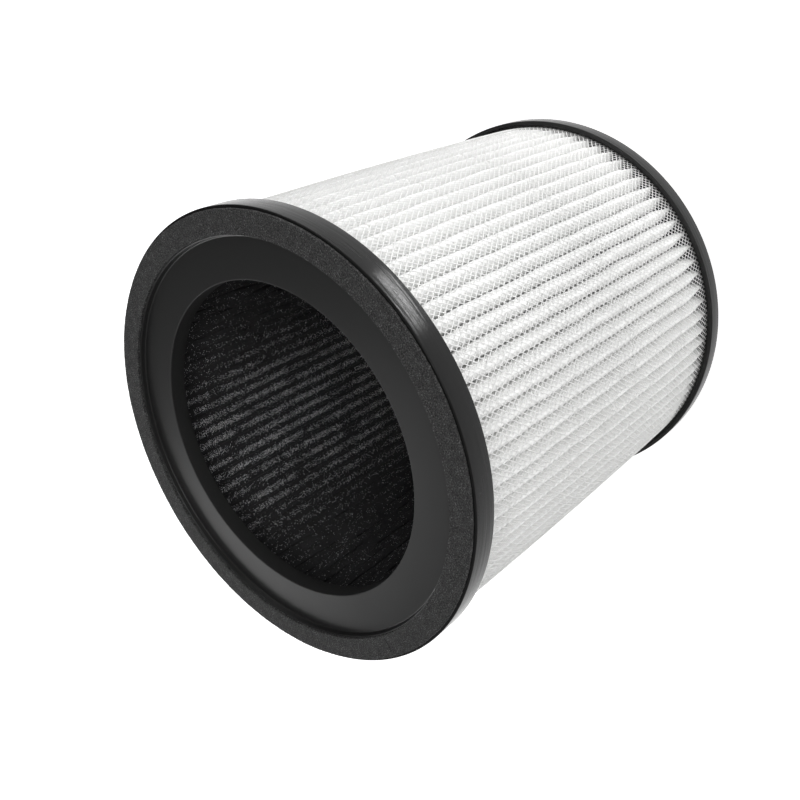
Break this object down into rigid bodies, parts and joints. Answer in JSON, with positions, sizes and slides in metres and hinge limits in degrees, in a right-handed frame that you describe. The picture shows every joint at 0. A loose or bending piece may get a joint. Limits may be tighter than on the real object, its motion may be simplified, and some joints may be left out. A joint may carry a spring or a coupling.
{
  "type": "cylindrical air purifier filter",
  "caption": "Round pleated air filter: white HEPA pleats in diamond netting, black carbon pleats inside, between black end caps, one open with a foam gasket",
  "frame": {"origin": "centre of the base cap's standing plane, on the filter's axis, at the lowest point of the part", "axes": "+Z runs along the axis from the closed base cap to the open end with the gasket; the filter is round, so X and Y are free, with the gasket's joint at -X"},
  "size_m": [0.15, 0.15, 0.1609],
  "materials": {
    "cap_plastic": "injection moulded ABS, black, glossy on the skirt and satin on the recessed ring",
    "gasket_foam": "fine-celled dark grey foam, cut strip, dull",
    "cast_adhesive": "poured two-part polyurethane potting, black and dull",
    "spacer_glue": "hot-melt adhesive in thin lines across the pleats, milky white",
    "hepa_paper": "white melt-blown nonwoven, matte",
    "carbon_cloth": "black activated carbon cloth with glinting granules",
    "net_plastic": "extruded white polypropylene netting, slightly shiny strands"
  },
  "bodies": {
    "root": {"top_cap": "cap_plastic", "base_cap": "cap_plastic", "foam_gasket": "gasket_foam", "top_adhesive": "cast_adhesive", "base_adhesive": "cast_adhesive", "hepa_pleats": "hepa_paper", "carbon_pleats": "carbon_cloth", "outer_net": "net_plastic"}
  },
  "joints": []
}
